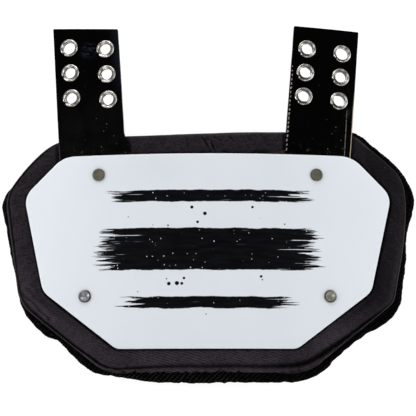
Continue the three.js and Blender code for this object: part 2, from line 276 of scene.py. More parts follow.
def turned(profile, sides):
    """A profile of (radius, height) rows turned about Z: x and y are the radius along each side's angle."""
    angle = bearings(sides)
    r, h = profile[:, 0, None], profile[:, 1, None]
    return np.stack((r * np.cos(angle), r * np.sin(angle), h + 0 * angle), -1)


def stand(points, seat, out):
    """Points made about Z, stood on a seat: x, y and z run along two directions square to out, and out."""
    aside = np.cross((0, 1, 0), out)
    aside /= np.linalg.norm(aside)
    return seat + points @ np.stack((aside, np.cross(out, aside), out))


# Finishes

def tone(red, green, blue):
    """A colour given in display values from 0 to 255, as the linear values that shaders take."""
    value = np.array((red, green, blue)) / 255
    linear = np.where(value <= 0.04045, value / 12.92, ((value + 0.055) / 1.055) ** 2.4)
    return (*linear.tolist(), 1.0)


def math_node(operation, swap=False):
    """A method of a wire that adds one Math node; swap puts the wire last."""
    def method(self, *others):
        values = (*others, self) if swap else (self, *others)
        return self.graph.node("ShaderNodeMath", {"operation": operation}, dict(enumerate(values)))
    return method


class Wire:
    """A value in a graph's nodes; arithmetic with wires or numbers on either side adds Math nodes."""

    def __init__(self, graph, socket):
        self.graph, self.socket = graph, socket

    __add__ = __radd__ = math_node("ADD")
    __mul__ = __rmul__ = math_node("MULTIPLY")
    __sub__ = math_node("SUBTRACT")
    __rsub__ = math_node("SUBTRACT", swap=True)
    __truediv__ = math_node("DIVIDE")
    __rtruediv__ = math_node("DIVIDE", swap=True)
    __pow__ = math_node("POWER")
    __rpow__ = math_node("POWER", swap=True)
    __abs__ = math_node("ABSOLUTE")
    sine = math_node("SINE")
    least = math_node("MINIMUM")
    most = math_node("MAXIMUM")

    def wave(self, pitch):
        """From 0 to 1 and back once in each pitch, as a sine."""
        return (self * (2 * math.pi / pitch)).sine() * 0.5 + 0.5

    def ease(self, low, high):
        """0 at low, 1 at high, eased between."""
        return self.graph.node("ShaderNodeMapRange", {"interpolation_type": "SMOOTHSTEP"},
                               {"Value": self, "From Min": low, "From Max": high})


class Graph:
    """The nodes of a material or a world, round its one shader."""

    def __init__(self, owner, shader, constants):
        owner.use_nodes = True
        self.owner, self.tree = owner, owner.node_tree
        self.shader = self.tree.nodes[shader]
        for key, value in constants.items():
            self.shader.inputs[key.replace("_", " ")].default_value = value

    def node(self, kind, settings=None, sockets=None, output=0):
        """Any node: its type, its settings, the values or wires of its sockets, and the output wanted."""
        made = self.tree.nodes.new(kind)
        for key, value in (settings or {}).items():
            setattr(made, key, value)
        for key, value in (sockets or {}).items():
            if isinstance(value, Wire):
                self.tree.links.new(value.socket, made.inputs[key])
            else:
                made.inputs[key].default_value = value
        return Wire(self, made.outputs[output])

    def parts(self, vector, scale):
        """The three parts of a vector, each times scale."""
        made = self.node("ShaderNodeSeparateXYZ", None, {0: vector})
        return [Wire(self, socket) * scale for socket in made.socket.node.outputs]

    def wear(self, **sockets):
        """The shader's sockets that change over the surface."""
        for key, value in sockets.items():
            self.tree.links.new(value.socket, self.shader.inputs[key.replace("_", " ")])
        return self.owner


class Finish(Graph):
    """A new material, with its constants set on a Principled shader."""

    def __init__(self, name, **constants):
        super().__init__(bpy.data.materials.new(name), "Principled BSDF", constants)

    def place(self):
        """Where a point is, in millimetres."""
        return self.parts(self.node("ShaderNodeTexCoord", None, None, "Object"), 1 / MM)

    def chart(self):
        """A point's place in its piece's own map, in millimetres."""
        return self.parts(self.node("ShaderNodeUVMap", {"uv_map": "chart"}), 1 / CHART)[:2]

    def mark(self, name):
        """A number that the piece carries at each point."""
        return self.node("ShaderNodeAttribute", {"attribute_name": name}, None, "Fac")

    def vector(self, x=0.0, y=0.0, z=0.0):
        """A vector from its three parts."""
        return self.node("ShaderNodeCombineXYZ", None, {0: x, 1: y, 2: z})

    def noise(self, x, y, z=0.0, detail=2.0, rough=0.5, warp=0.0):
        """Cloudy noise from 0 to 1 over x, y, z, one cell to each unit."""
        return self.node("ShaderNodeTexNoise", None, {
            "Vector": self.vector(x, y, z), "Scale": 1.0, "Detail": detail, "Roughness": rough,
            "Distortion": warp})

    def dots(self, x, y, z=0.0):
        """Scattered points, one to each unit cell: the distance to the nearest, and its own two chances."""
        near = self.node("ShaderNodeTexVoronoi", None, {"Vector": self.vector(x, y, z), "Scale": 1.0})
        chance = self.parts(Wire(self, near.socket.node.outputs["Color"]), 1.0)
        return near, chance[0], chance[1]

    def blend(self, share, first, second):
        """A colour that goes from first to second with share."""
        return self.node("ShaderNodeMix", {"data_type": "RGBA"}, {0: share, 6: first, 7: second}, 2)

    def bump(self, height, depth):
        """The surface's direction over a relief of 0 to 1 that stands depth millimetres high."""
        return self.node("ShaderNodeBump", None, {"Height": height, "Distance": depth * MM})


# The plate's print: plain brushed bands, as y, half width and half length.
PRINT_BANDS = ((2, 5, 82), (-44, 18, 90), (-90, 5, 68))
TWILL_PITCH = 2.1   # between the fabric's ribs
KNIT_PITCH = 2.9    # between the mesh's ribs
LOOP_PITCH = 2.2    # between the loops along a rib
PLY_PITCH = 0.8     # between the turns of the thread


def plate_plastic():
    """Cool white moulded plastic, faintly clouded and scuffed, with the brushed bands in near-black ink. A
    band is where y is within its half width, let wander by a slow noise, and x within its half length, let
    run by a noise that is fine across the brush and long along it; bristle gaps open towards its ends."""
    finish = Finish("plate_plastic", IOR=1.32, Specular_IOR_Level=0.2)
    x, y, z = finish.place()
    streak = finish.noise(x * 0.016, y * 0.5, detail=3, rough=0.6)
    bristle = finish.noise(x * 0.022, y * 1.1, 7, detail=2, rough=0.6)
    wander = finish.noise(x * 0.05, y * 0.05, 3, detail=4, rough=0.6) - 0.5
    ink = None
    for middle, half, reach in PRINT_BANDS:
        side = half - abs(y - middle + wander * 4)
        end = reach + (streak - 0.5) * 70 - abs(x + wander * 20)
        band = side.ease(-0.35, 0.35) * end.ease(-1.0, 1.2)
        dry = (bristle - 0.72 + (abs(x) / reach) ** 4 * 0.17).ease(0, 0.05)
        band = band * (1 - dry)
        ink = band if ink is None else ink.most(band)
    near, chance, size = finish.dots(x * 0.15, y * 0.15)
    spread = (abs(y + 44) / 62 + (x / 104) ** 2).ease(1.25, 0.5)
    fleck = (size * 0.3 * chance.ease(0.45, 0.6) * spread - near).ease(0, 0.03)
    pin, pin_chance, pin_size = finish.dots(x * 0.4, y * 0.4, 4)
    pinhole = (pin_size * 0.22 * pin_chance.ease(0.7, 0.72) - pin).ease(0, 0.05)
    ink = (ink * (1 - pinhole)).most(fleck)
    cloud = finish.noise(x * 0.02, y * 0.02, 1, detail=3)
    grain = finish.noise(x * 0.7, y * 0.7, z * 0.7, detail=3)
    shell = finish.blend(cloud, tone(224, 229, 235), tone(232, 236, 242))
    # Painted light: the plate's shell is lighter towards its two curved sides.
    shell = finish.blend(abs(x).ease(50, 150) * 0.5, shell, tone(241, 246, 252))
    depth = finish.noise(x * 0.06, y * 0.3, 11, detail=3)
    pigment = finish.blend(depth.ease(0.3, 0.75), tone(2, 2, 4), tone(13, 14, 17))
    scuff = finish.noise(x * 0.35, y * 0.05, 5, detail=4, rough=0.7).ease(0.66, 0.78)
    shell = finish.blend(scuff * 0.16, shell, tone(196, 200, 206))
    return finish.wear(
        Base_Color=finish.blend(ink, shell, pigment),
        Roughness=0.24 + ink * 0.2 + scuff * 0.14 + grain * 0.05,
        Normal=finish.bump(grain * 0.3 + cloud * 0.7, 0.08),
    )


def pad_fabric():
    """Charcoal twill with a mauve cast: clouded from fibre to fibre and drawn out along its yarns, with ribs
    that fall a little to the right and show towards the waist, and stray lint. Painted light makes it
    lighter towards the waist, with a painted sheen most of all at the lower corners, and painted shade makes
    it darker to the right. Painted shade darkens it down in its folds, and painted highlights lighten its
    ridges."""
    finish = Finish("pad_fabric", Specular_IOR_Level=0.04, Sheen_Weight=0.03, Sheen_Roughness=0.4)
    x, y, z = finish.place()
    sway = finish.noise(x * 0.045, y * 0.045, z * 0.03, detail=2) * 4
    rib = (y * 0.96 + x * 0.28 + sway).wave(TWILL_PITCH)
    fibre = finish.noise(x * 0.75, y * 0.75, z * 0.75, detail=4, rough=0.75)
    yarn = finish.noise(x * 0.3, y * 1.3, z * 0.5, detail=2)
    cloud = finish.noise(x * 0.055, y * 0.055, z * 0.05, detail=4, rough=0.6)
    show = finish.noise(x * 0.02, y * 0.02, 4, detail=2).ease(0.35, 0.65) * y.ease(-40, -110)
    weave = rib * (0.04 + show * 0.16) + yarn * 0.3 + fibre * 0.9
    base = finish.blend(weave.ease(0.42, 0.92), tone(21, 19, 21), tone(67, 59, 67))
    # Painted light: lighter towards the waist and darker towards the top, mottled by the cloud.
    lit_towards_waist = (y * -0.0045 + cloud * 0.5).ease(-0.5, 1.0)
    base = finish.blend(lit_towards_waist, finish.blend(0.55, base, tone(17, 15, 17)), base)
    # Painted sheen: a lighter mauve at the lower corners.
    corner = y.ease(-45, -90) * abs(x).ease(75, 115) * x.ease(150, 115)
    base = finish.blend(corner * 0.12, base, tone(84, 76, 84))
    # Painted shade: darker to the right, where the pad curves away.
    right = x.ease(102, 158) * (0.5 + abs(y + 15).ease(20, 55) * 0.24)
    base = finish.blend(right, base, tone(12, 11.5, 12.5))
    fold, ridge = finish.mark("fold"), finish.mark("ridge")
    # Painted shade from the fold mark: dark in the gully, creases and dips, along the plate's edge and under
    # the lip.
    base = finish.blend(fold * 0.98, base, tone(3, 2.5, 3))
    # Painted highlight on the lip, beside creases and along the top edge.
    base = finish.blend(ridge * 0.6, base, tone(84, 77, 82))
    near, chance, size = finish.dots(x * 0.22, y * 0.22, z * 0.22)
    lint = (size * 0.1 * chance.ease(0.6, 0.62) - near).ease(0, 0.04)
    return finish.wear(
        Base_Color=finish.blend(lint * 0.5, base, tone(120, 114, 110)),
        Roughness=0.86 - rib * 0.06 - ridge * 0.1,
        Normal=finish.bump(weave, 0.3),
    )


def knit_run(x, y, z):
    """How far across the mesh's ribs a place lies, in millimetres; arrays and wires alike. The ribs rise to
    the right."""
    return y * 0.76 - x * 0.65 - z * 0.4


def pad_mesh():
    """Black spacer mesh: knitted ribs, each broken into loops and frayed, matted out of sight at the left
    end. Its crowns are painted grey as highlight, most of all to the left, and it is specked grey all over."""
    finish = Finish("pad_mesh", Specular_IOR_Level=0.03)
    x, y, z = finish.place()
    across = knit_run(x, y, z)
    along = x * 0.76 + y * 0.65 + z * 0.45
    rib = across.wave(KNIT_PITCH)
    loop = (along * (2 * math.pi / LOOP_PITCH) + across * 1.1).sine() * 0.5 + 0.5
    fibre = finish.noise(x * 0.45, y * 0.45, z * 0.45, detail=4, rough=0.7)
    combed = x.ease(-125, -70)
    knit = rib * (0.12 + combed * 0.45) + loop * 0.2 + fibre * (1.1 - combed * 0.4)
    cloud = finish.noise(x * 0.06, y * 0.06, z * 0.06, detail=3)
    # Painted highlight on the ribs' crowns, strongest to the left, with real grey specks over it.
    highlight_and_specks = knit.ease(0.74, 1.12) * (0.3 + cloud.ease(0.3, 0.7) * 0.7) * (1 - x.ease(-150, 110) * 0.85)
    highlight_and_specks = highlight_and_specks.most(fibre.ease(0.6, 0.72) * 0.3)
    return finish.wear(
        Base_Color=finish.blend(highlight_and_specks, tone(2, 2, 2), tone(62, 58, 57)),
        Roughness=0.92 - highlight_and_specks * 0.2,
        Normal=finish.bump(knit, 0.6),
    )


def strap_patent(side):
    """Black patent leather: smeared and dusty, and scuffed towards the plate. The left strap is browned
    there, with a pale mark between its upper eyelets and a painted reflection, a pale sheen, beside them at
    its inner edge; the right one's outer edge is worn back to its raw core, and a fine crease runs inside
    it."""
    finish = Finish(f"strap_patent_{side}", IOR=1.42)
    across, along = finish.chart()
    smear = finish.noise(across * 0.05, along * 0.035, 2, detail=4, rough=0.6, warp=0.6)
    streak = finish.noise(across * 0.9 + along * 0.35, along * 0.06, 5, detail=3, rough=0.6)
    low = along.ease(75, 5)
    near, chance, size = finish.dots(across * 0.35, along * 0.35, 1)
    dust = (size * 0.17 * chance.ease(0.82, 0.84) - near).ease(0, 0.05) * (0.35 + low * 0.65)
    wear_and_highlight = finish.noise(across * 0.3, along * 0.22, 9, detail=5, rough=0.7)
    scuff = wear_and_highlight.ease(0.56, 0.72) * along.ease(15, 2)
    scratch = streak.ease(0.69, 0.74) * smear.ease(0.42, 0.7)
    base = finish.blend(scuff * 0.4, tone(2, 2, 3), tone(66, 62, 58))
    base = finish.blend(scratch * 0.25, base, tone(60, 62, 66))
    worn = scuff
    if side == "left":
        base = finish.blend(along.ease(70, 30) * smear.ease(0.25, 0.65) * 0.9, base, tone(11, 10.5, 9.8))
        patch = (((across - 2) / 9) ** 2 + ((along - 94) / 10) ** 2).ease(1.0, 0.1)
        wisp = finish.noise(across * 0.16, along * 0.5 + across * 0.1, 6, detail=3, rough=0.6)
        # Painted reflection: a pale sheen band along the inner edge beside the upper eyelets.
        sheen_band = across.ease(19, 28) * along.ease(48, 70) * (0.4 + smear * 0.6)
        smudge_and_sheen = (patch * wisp.ease(0.45, 0.7)).most(sheen_band * 0.35)
        base = finish.blend(smudge_and_sheen * 0.5, base, tone(54, 57, 78))
        worn = worn.most(smudge_and_sheen * 0.3)
    else:
        fray = finish.noise(across * 0.4, along * 0.5, 3, detail=4, rough=0.7)
        raw = (across - STRAP_WIDTH / 2 + 1.1 * fray + 0.3).ease(0, 0.3) * along.ease(62, 40)
        line = (0.5 - abs(across - 23.6 + along * 0.012)).ease(0, 0.4)
        line = line * along.ease(46, 34) * fray.ease(0.3, 0.6)
        base = finish.blend(raw, base, tone(168, 152, 128))
        base = finish.blend(line * 0.75, base, tone(128, 120, 108))
        worn = worn.most(raw).most(line)
    return finish.wear(
        Base_Color=finish.blend(dust * 0.8, base, tone(150, 138, 118)),
        Roughness=(0.07 + smear * 0.07 + low * 0.04 + dust * 0.4 + worn * 0.4).least(0.8),
        Normal=finish.bump(smear * 0.8 + streak * 0.1 + scuff * wear_and_highlight * 0.4, 0.06),
    )


def nickel(name, light, dark, gloss, metal):
    """Plated metal, clouded with tarnish and finely turned. The piece's marks make it dark with dirt and
    painted shade, beige with a painted reflection on its rim, and bright with painted glints; its map runs
    round it and along its profile."""
    finish = Finish(name, Metallic=metal)
    turn, along = finish.chart()
    x, y, z = finish.place()
    cloud = finish.noise(x * 0.3, y * 0.3, z * 0.3, detail=1)
    lathe = finish.noise(along * 0.8, turn * 0.02, detail=2)
    soil, rim, shine = finish.mark("soil"), finish.mark("rim"), finish.mark("shine")
    base = finish.blend(cloud.ease(0.35, 0.65), light, dark)
    # Painted beige reflection from the rim mark.
    base = finish.blend(rim, base, tone(158, 136, 104))
    # Painted glints.
    base = finish.blend(shine, base, tone(250, 248, 244))
    # Dirt and painted shade darken it to a dark brown.
    return finish.wear(
        Base_Color=finish.blend(soil, base, tone(34, 28, 22)),
        Roughness=gloss + cloud * 0.1 + soil * 0.3,
        Normal=finish.bump(lathe, 0.02),
    )


def stitch_thread():
    """Waxed grey-beige thread, twisted: two plies that cross it at a slant."""
    finish = Finish("stitch_thread", Sheen_Weight=0.2, Sheen_Roughness=0.4)
    x, y, z = finish.place()
    ply = (x * 1.2 + y).wave(PLY_PITCH)
    soil = finish.noise(x * 0.3, y * 0.3, z * 0.3, detail=3)
    base = finish.blend(soil.ease(0.3, 0.7), tone(168, 163, 152), tone(116, 110, 100))
    return finish.wear(
        Base_Color=finish.blend(ply * 0.35, base, tone(92, 87, 78)),
        Roughness=0.75 - ply * 0.12,
        Normal=finish.bump(ply, 0.12),
    )


# Pieces

def placed(name, data):
    """A new object that holds data, at the origin."""
    made = bpy.data.objects.new(name, data)
    scene.collection.objects.link(made)
    return made


def mesh_object(name, points, faces):
    """A new object that holds a mesh of points, in metres, and faces."""
    mesh = bpy.data.meshes.new(name)
    mesh.from_pydata(points, [], faces)
    return placed(name, mesh)


def piece(name, points, faces, material, slot, node=None, chart=None, **marks):
    """A smooth mesh piece from points in the plate's frame, riding on the part. chart is its own map, one
    (across, along) row in millimetres for each point, and each mark a number for each point."""
    made = mesh_object(name, lay(points), faces)
    mesh = made.data
    mesh.polygons.foreach_set("use_smooth", np.ones(len(mesh.polygons), bool))
    if chart is not None:
        corner = np.empty(len(mesh.loops), np.int32)
        mesh.loops.foreach_get("vertex_index", corner)
        layer = mesh.uv_layers.new(name="chart")
        layer.data.foreach_set("uv", (np.asarray(chart)[corner] * CHART).astype(np.float32).ravel())
    for key, value in marks.items():
        carried = mesh.attributes.new(key, "FLOAT", "POINT")
        carried.data.foreach_set("value", np.ravel(value).astype(np.float32))
    mesh.materials.append(material)
    mesh.update()
    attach(made, "root")
    if node:
        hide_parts(node)
    return made


plate_edge = outline(PLATE_OUTLINE, 900)[0]


def plate_shell(material):
    """The plate: its outline drawn in to a row of shares, each ring lifted onto the wrap, over a rim rounded
    by a quarter circle and back underneath; its face dips and swells by a slow relief of a few tenths."""
    size = np.linalg.norm(plate_edge, axis=1, keepdims=True)
    rim = 1.25
    bend = np.linspace(0, np.pi / 2, 7)
    front, back = np.linspace(0.02, 0.97, 34), np.linspace(0.97, 0.02, 16)
    share = np.concatenate((front, np.full(len(bend) + 1, 1.0), back))
    inset = np.concatenate((0 * front + 2.4, rim * (1 - np.sin(bend)), (0.0,), 0 * back + 1.0))
    depth = PLATE_THICKNESS
    lift = depth - np.concatenate((0 * front, rim * (1 - np.cos(bend)), (depth,), 0 * back + depth))
    share, inset = share[:, None, None], inset[:, None, None]
    least = share / 5   # so that the inmost rings stay apart
    plan = plate_edge[None] * np.maximum(share - inset / size, least)
    x, y = plan[..., 0], plan[..., 1]
    face = (lift[:, None] > 0) * ease(off_edge(x, y, plate_edge), 0, 25)
    swell = 0.22 * drift(x, y, 130, 21)
    points, faces = closed_skin(wrapped(x, y, lift[:, None] + face * swell))
    return piece("plate_shell", points, faces, material, "plate", "plate")


def strap_sag(along):
    """A strap's drop: straight runs between the rows of STRAP_SAG."""
    return np.interp(along, *np.transpose(STRAP_SAG))


def on_strap(strap, along, across, rise=0.0):
    """A place on a strap: across and along turned by its lean about its root, then laid on the wrap at its
    own lift less its sag."""
    lean = math.radians(strap["lean"])
    x = strap["root"] + across * math.cos(lean) - along * math.sin(lean)
    y = STRAP_ROOT_Y + across * math.sin(lean) + along * math.cos(lean)
    return wrapped(x, y, -FIT_GAP - strap_sag(along) + rise)


def splayed(strap, across, along):
    """How far a strap's inner edge splays out: all of its splay by the plate, easing to none 18 mm off, and
    none on its outer side."""
    return strap["splay"] * ease(along, 18, 2) * ease(across, 12, STRAP_WIDTH / 2)


def under_strap(x, y, margin):
    """1 under a strap and up to margin past its sides, falling to 0 over the next 4 mm."""
    covered = np.zeros(np.shape(x))
    for strap in STRAPS.values():
        lean = math.radians(strap["lean"])
        dx, dy = x - strap["root"], y - STRAP_ROOT_Y
        across = dx * math.cos(lean) + dy * math.sin(lean)
        along = dy * math.cos(lean) - dx * math.sin(lean)
        past = np.abs(across) - STRAP_WIDTH / 2 - splayed(strap, across, along)
        beside = ease(past, margin + 4, margin)
        covered = np.maximum(covered, beside * ease(along, -STRAP_TUCK - 4, -STRAP_TUCK - 1))
    return covered


PUFF_FRAMES = 20   # how long the cloth simulation runs


def puffed(rings, held, pressure, slack, cap):
    """A closed cover filled out by cloth simulation: its held points pinned, its cloth cut larger by slack,
    a few frames under pressure with no gravity. A point's move is then held to at most cap millimetres."""
    points, faces = closed_skin(rings)
    cover = mesh_object("slack_cover", points * MM, faces)
    mesh = cover.data
    pins = np.flatnonzero(np.append(held.ravel(), (True, True)))
    cover.vertex_groups.new(name="held").add(pins.tolist(), 1.0, "REPLACE")
    cloth = cover.modifiers.new("cloth", "CLOTH")
    feel = cloth.settings
    feel.quality = 6
    feel.vertex_group_mass = "held"
    feel.use_pressure, feel.uniform_pressure_force = True, pressure
    feel.shrink_min = -slack
    feel.bending_stiffness = 0.2
    feel.effector_weights.gravity = 0
    cloth.point_cache.frame_start, cloth.point_cache.frame_end = 1, PUFF_FRAMES
    for number in range(1, PUFF_FRAMES + 1):
        scene.frame_set(number)
    filled = cover.evaluated_get(bpy.context.evaluated_depsgraph_get()).data
    moved = np.empty(points.size)
    filled.vertices.foreach_get("co", moved)
    move = moved.reshape(-1, 3)[:-2] / MM - points[:-2]
    far = np.linalg.norm(move, axis=1, keepdims=True)
    move *= np.tanh(far / cap) * cap / np.maximum(far, 1e-9)
    bpy.data.objects.remove(cover)
    bpy.data.meshes.remove(mesh)
    scene.frame_set(1)
    return rings + move.reshape(rings.shape)


def sorted_polar(edge):
    """An outline as (bearing, distance from the middle), in order of bearing."""
    angle, reach = np.arctan2(edge[:, 1], edge[:, 0]), np.linalg.norm(edge, axis=1)
    order = np.argsort(angle)
    return angle[order], reach[order]


def in_plate(x, y):
    """Where a place lies inside the plate's outline, seen from in front."""
    return np.hypot(x, y) < np.interp(np.arctan2(y, x), *sorted_polar(plate_edge), period=2 * np.pi)


# Round the front pad, by bearing in degrees: how far inside the edge its seam runs, the half width and depth
# of the seam's gully, the width of the painted shadow along the plate's edge, and how deep the pad dips
# there.
PAD_SEAM = (
    (-180, 2.7, 1.1, 1.7, 0.9, 0.1), (-160, 2.5, 1.4, 1.7, 1.0, 0.35), (-152, 2.7, 2.3, 1.6, 1.4, 0.9),
    (-146, 2.3, 1.5, 2.3, 1.8, 1.0), (-138, 2.4, 1.2, 2.4, 1.7, 0.7), (-130, 2.5, 1.1, 2.4, 1.6, 0.3),
    (-124, 2.9, 1.2, 2.3, 1.3, 0.2), (-117, 4.4, 1.5, 1.9, 1.0, 0.1), (-106, 5.4, 1.9, 1.6, 0.9, 0.1),
    (-72, 6.2, 2.2, 1.6, 0.9, 0.1), (-60, 6.6, 3.3, 2.4, 0.9, 0.2), (-54, 6.0, 3.2, 2.5, 0.9, 0.2),
    (-48, 4.9, 3.0, 2.6, 0.9, 0.3), (-42, 3.3, 2.0, 2.6, 1.0, 0.6), (-33, 2.4, 1.4, 2.4, 1.2, 1.0),
    (-27, 2.0, 0.9, 1.2, 1.6, 0.9), (-20, 1.9, 0.8, 0.6, 1.9, 0.3), (0, 1.6, 0.7, 0.4, 1.9, 0.1),
    (20, 1.6, 0.7, 0.4, 1.6, 0.1), (40, 1.6, 0.7, 0.4, 1.0, 0.1), (90, 2.2, 0.9, 0.5, 0.8, 0.0),
    (140, 2.2, 0.9, 0.8, 0.9, 0.1), (180, 2.7, 1.1, 1.7, 0.9, 0.1),
)
# The front pad's border, from under the plate out to the seam, over the lip and back underneath: each ring
# lies inside the edge by a share of the seam's distance plus its own, and at a lift.
PAD_BORDER = (
    (0, 30, -0.3), (0.2, 24, -0.3), (0.283, 21.5, -0.3), (0.367, 19, -0.3), (0.45, 16.5, -0.32),
    (0.533, 14, -0.38), (0.633, 11, -0.5), (0.733, 8, -0.7), (0.833, 5, -1.0), (0.917, 2.5, -1.35),
    (1, 0, -1.7), (0.78, 0, -1.75), (0.52, 0, -2.2), (0.3, 0, -3.1), (0.12, 0, -4.3), (0, 0.05, -5.7),
    (0, 0.8, -7.1), (0, 3.2, -8.1), (0, 7, FRONT_PAD_BASE),
)
# Creases in the pad: depth, the two ends, and half width.
PAD_CREASES = (
    (1.5, -5.4, 60.5, 0.6, 52.6, 0.55), (1.9, 2.6, 56.5, 7.4, 47.4, 0.55), (0.9, 5, 62, 11.5, 56.8, 0.7),
    (1.0, 18.2, 62.2, 22.4, 57, 0.6), (0.8, 34, 61.8, 37.5, 58.6, 0.6), (0.8, 45.5, 63, 49, 60, 0.6),
    (0.5, -19, 60, -17, 53, 1.0), (0.4, -40, 58, -38, 50, 1.0), (1.0, -161, -72, -136, -97, 0.9),
    (0.6, -157, -70, -128, -95, 1.2),
)
LIP_TEETH = np.arange(-62, 32, 8.6)   # x of the small bites in the lip's lower edge


def by_bearing(x, y, rows):
    """The columns of a table, read at the bearings of places: each goes straight between its rows."""
    bearing, *columns = np.transpose(rows)
    return [np.interp(np.degrees(np.arctan2(y, x)), bearing, column) for column in columns]


def crease(x, y, x0, y0, x1, y1, wide):
    """A sharp dip along a line with a swell of half its height beside it: two humps over the distance to one
    side, which sways by a sine along the line, fading out past the line's two ends."""
    run = math.hypot(x1 - x0, y1 - y0)
    ahead, aside = (x1 - x0) / run, (y1 - y0) / run
    along = (x - x0) * ahead + (y - y0) * aside
    off = (x - x0) * aside - (y - y0) * ahead
    off = off + 0.5 * np.sin(along / 2.6 + x0)
    shape = 0.5 * hump(off, 2.2 * wide, 1.6 * wide) - hump(off, 0, wide)
    return shape * ease(along, -3, 2) * ease(along, run + 3, run - 2)


def lip_bite(x, y):
    """How far the lip's lower edge is drawn in: a peak exp(-|d|/w) at each tooth, of its own depth and
    width, along the bottom only."""
    rng = np.random.default_rng(31)
    middle = LIP_TEETH + rng.normal(0, 1.6, len(LIP_TEETH))
    deep, wide = rng.uniform(0.7, 2.1, len(LIP_TEETH)), rng.uniform(0.9, 1.7, len(LIP_TEETH))
    peaks = deep * np.exp(-np.abs(x[..., None] - middle) / wide)
    return peaks.max(-1) * ease(-y, 120, 132)


def front_pad_cover(material):
    """The fabric-faced pad: rings drawn in from its outline, from the middle of its face out over a rolled
    edge and back underneath, filled out by the cloth simulation between the plate and the seam. The fine
    skin then gets the seam's gully, the puckers and small bites of its lip, a dip along the plate, waves and
    a few creases, and the beds pressed in by the straps. Its marks say where shade is painted, in the gully,
    creases and dips, as a painted shadow round the plate and under the lip, and where highlights are
    painted, on the lip, beside creases and along the top edge."""
    columns, fine = 300, 5
    edge, girth = outline(FRONT_PAD_OUTLINE, columns)
    size = np.linalg.norm(edge, axis=1)
    seam = by_bearing(*edge.T, PAD_SEAM)[0]
    part, own, height = np.transpose(PAD_BORDER)
    over, under = np.array((0.03, 0.3, 0.55, 0.75)), np.array((0.75, 0.5, 0.25, 0.03))
    first, last = len(over), len(over) + len(part)
    share = np.concatenate((over, np.ones(len(part)), under))
    inset = np.zeros((len(share), columns))
    inset[first:last] = part[:, None] * seam + own[:, None]
    lift = np.concatenate((0 * over - FIT_GAP, height, 0 * under + FRONT_PAD_BASE))
    plan = edge[None] * (share[:, None] - inset / size)[..., None]

    sewn = first + np.flatnonzero(part == 1)
    narrow = (seam < 3) & (inset < seam + 0.01)
    held = in_plate(plan[..., 0] * 1.01, plan[..., 1] * 1.01) | (lift < -7)[:, None] | narrow
    held[sewn] = True
    held[:first + 1] = True
    rings = wrapped(plan[..., 0], plan[..., 1], lift[:, None])
    rings = puffed(rings, held, pressure=4, slack=0.02, cap=2.6)

    x, y, lift = unwrapped(refined(rings[first:last], 3, fine))
    part, own = spline(np.array(PAD_BORDER)[:, :2], 3).T
    seam, wide, deep, line, dip = by_bearing(x[-1], y[-1], PAD_SEAM)
    at = np.linspace(0, girth, columns * fine, endpoint=False)
    low = ease(-y[-1], 85, 125)
    right = ease(x[-1], 110, 165)
    inset = part[:, None] * seam + own[:, None]
    gap = inset - seam + 0.25 * drift(at, 0, 45, 12)
    face = ease(lift, -7.4, -4.5)
    groove = hump(gap, 0, wide)
    pucker = drift(at, inset * 0.3, 7.0, 5) * ease(gap, 2.5, -0.5) * (0.05 + 0.25 * low)
    wave = 0.3 * drift(x, y, 42, 8) + 0.1 * drift(x, y, 15, 9)
    fold = sum(depth * crease(x, y, *run) for depth, *run in PAD_CREASES)
    bite = lip_bite(x, y) * ease(inset, 3.6, 0.6) / np.hypot(x, y)
    x, y = x * (1 - bite), y * (1 - bite)

    inside, beyond = in_plate(x, y), off_edge(x, y, plate_edge)
    free = np.where(inside, 0, ease(beyond, 0.5, 6))
    press = np.where(inside, 0, np.exp(-beyond / (0.6 + 0.5 * line))) * 1.7 * face
    hollow = np.where(inside, 0, hump(beyond, 3.5, 5)) * dip
    lift = lift + face * (wave + pucker + fold - deep * groove - 0.8 * hollow) * free - press
    lift = np.where(inside, np.minimum(lift, -0.2), lift)
    bed = -FIT_GAP - STRAP_THICKNESS - 0.35
    covered = under_strap(x, y, 0.4) * face
    lift = lift + np.minimum(bed - lift, 0) * covered
    hidden = refined(np.concatenate((rings[:first], rings[last:])), 1, fine)
    skin = np.concatenate((hidden[:first], wrapped(x, y, lift), hidden[first:]))

    # Painted shade: a dark line along part of the top edge.
    shade = ease(y, 57, 61) * ease(x, -14, 12) * ease(x, 64, 48) * ease(inset, 1.4, 0.5)
    # Painted shade in the seam's gully, the creases and the dips.
    soil = 0.5 * deep * groove + 0.6 * np.maximum(-fold, 0) + 0.62 * hollow + shade
    # Painted shadow under the plate and along its edge, as wide as the line column.
    soil = np.maximum(soil * free, np.where(inside, 0.95, 0.98 * ease(beyond, 2.0 * line, 0.8 * line)))
    # Painted shade under the lip, on the pad's side and underside.
    soil = np.clip(np.maximum(soil, ease(-lift, 3.6, 5.4) * 0.75), 0, 1) * face
    # Painted highlights: on the lip, on the swells beside creases, near bearing -20 and along the top edge.
    lip = hump(gap, -0.5 * seam, 0.3 * seam + 0.2)
    swell = near_bearing(np.arctan2(y[-1], x[-1]), -20, 10) * hump(gap, 1.6, 2.8)
    crest_highlight = ease(y, 50, 58) * hump(inset, 1.5, 1.3) * (0.7 + 0.2 * drift(at, 0, 30, 17))
    wear_and_highlight = lip * (0.3 - 0.16 * low + 0.2 * right) + 0.25 * np.maximum(fold, 0) + 0.26 * swell + crest_highlight
    wear_and_highlight = np.clip(wear_and_highlight, 0, 1) * face * (1 - soil)
    margin = ((first, len(under)), (0, 0))
    soil, wear_and_highlight = (with_poles(np.pad(value, margin, "edge")) for value in (soil, wear_and_highlight))
    made = piece("front_pad_cover", *closed_skin(skin), material, "front_fabric", "front_pad",
                 fold=soil, ridge=wear_and_highlight)
    return made


# The back pad's border, from its face round its edge and back underneath: inset and lift of each ring.
BACK_PAD_BORDER = (
    (24, BACK_PAD_FACE), (12, BACK_PAD_FACE), (7, -9.1), (3.6, -9.8), (1.2, -11.2), (0.1, -13.2),
    (0.9, -15.4), (3.4, -17.1), (8, -18.1), (14, BACK_PAD_BASE), (24, BACK_PAD_BASE),
)


